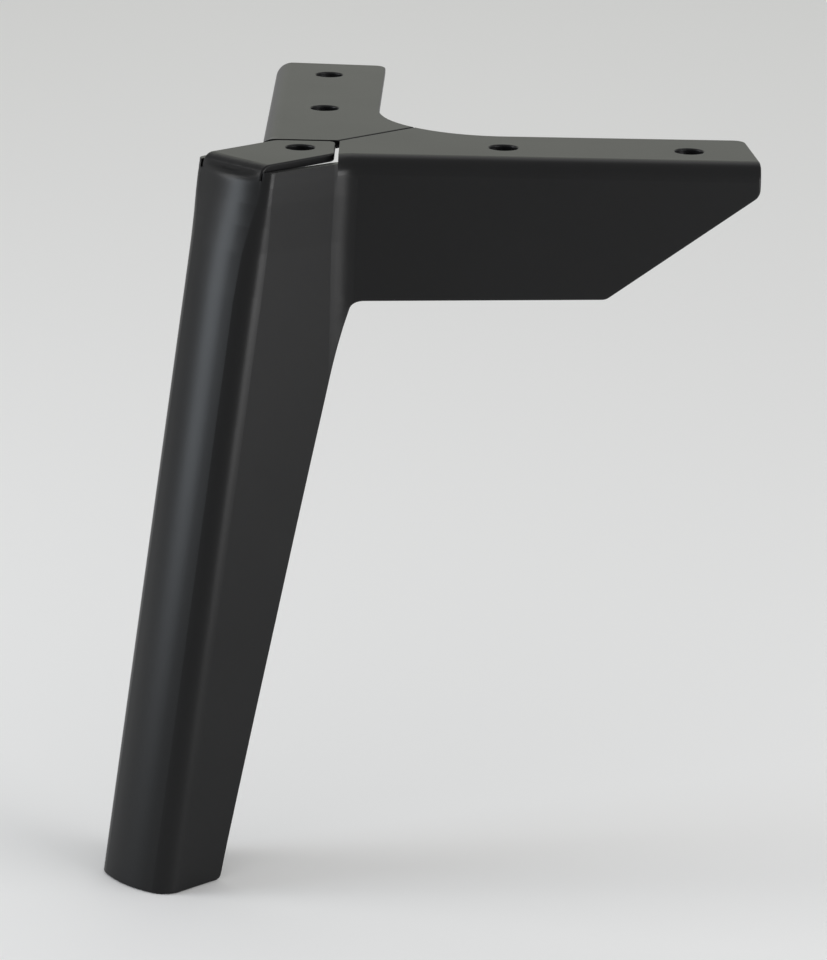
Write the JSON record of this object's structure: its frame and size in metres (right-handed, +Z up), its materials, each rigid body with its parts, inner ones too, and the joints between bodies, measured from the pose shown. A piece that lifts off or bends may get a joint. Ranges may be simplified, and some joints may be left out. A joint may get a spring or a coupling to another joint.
{
  "type": "furniture leg",
  "caption": "Leaning corner leg folded from black-coated sheet steel, with flanged arms and a tab that screw up under the corner of a sofa or cabinet.",
  "frame": {"origin": "in the top face, where the outer planes of the two arms meet", "axes": "+X along the right arm, +Y along the left arm, +Z up towards the furniture"},
  "size_m": [0.1506, 0.1506, 0.17],
  "materials": {
    "powder_coat": "satin black powder coat over sheet steel"
  },
  "bodies": {
    "root": {"folded_leg": "powder_coat"}
  },
  "joints": []
}
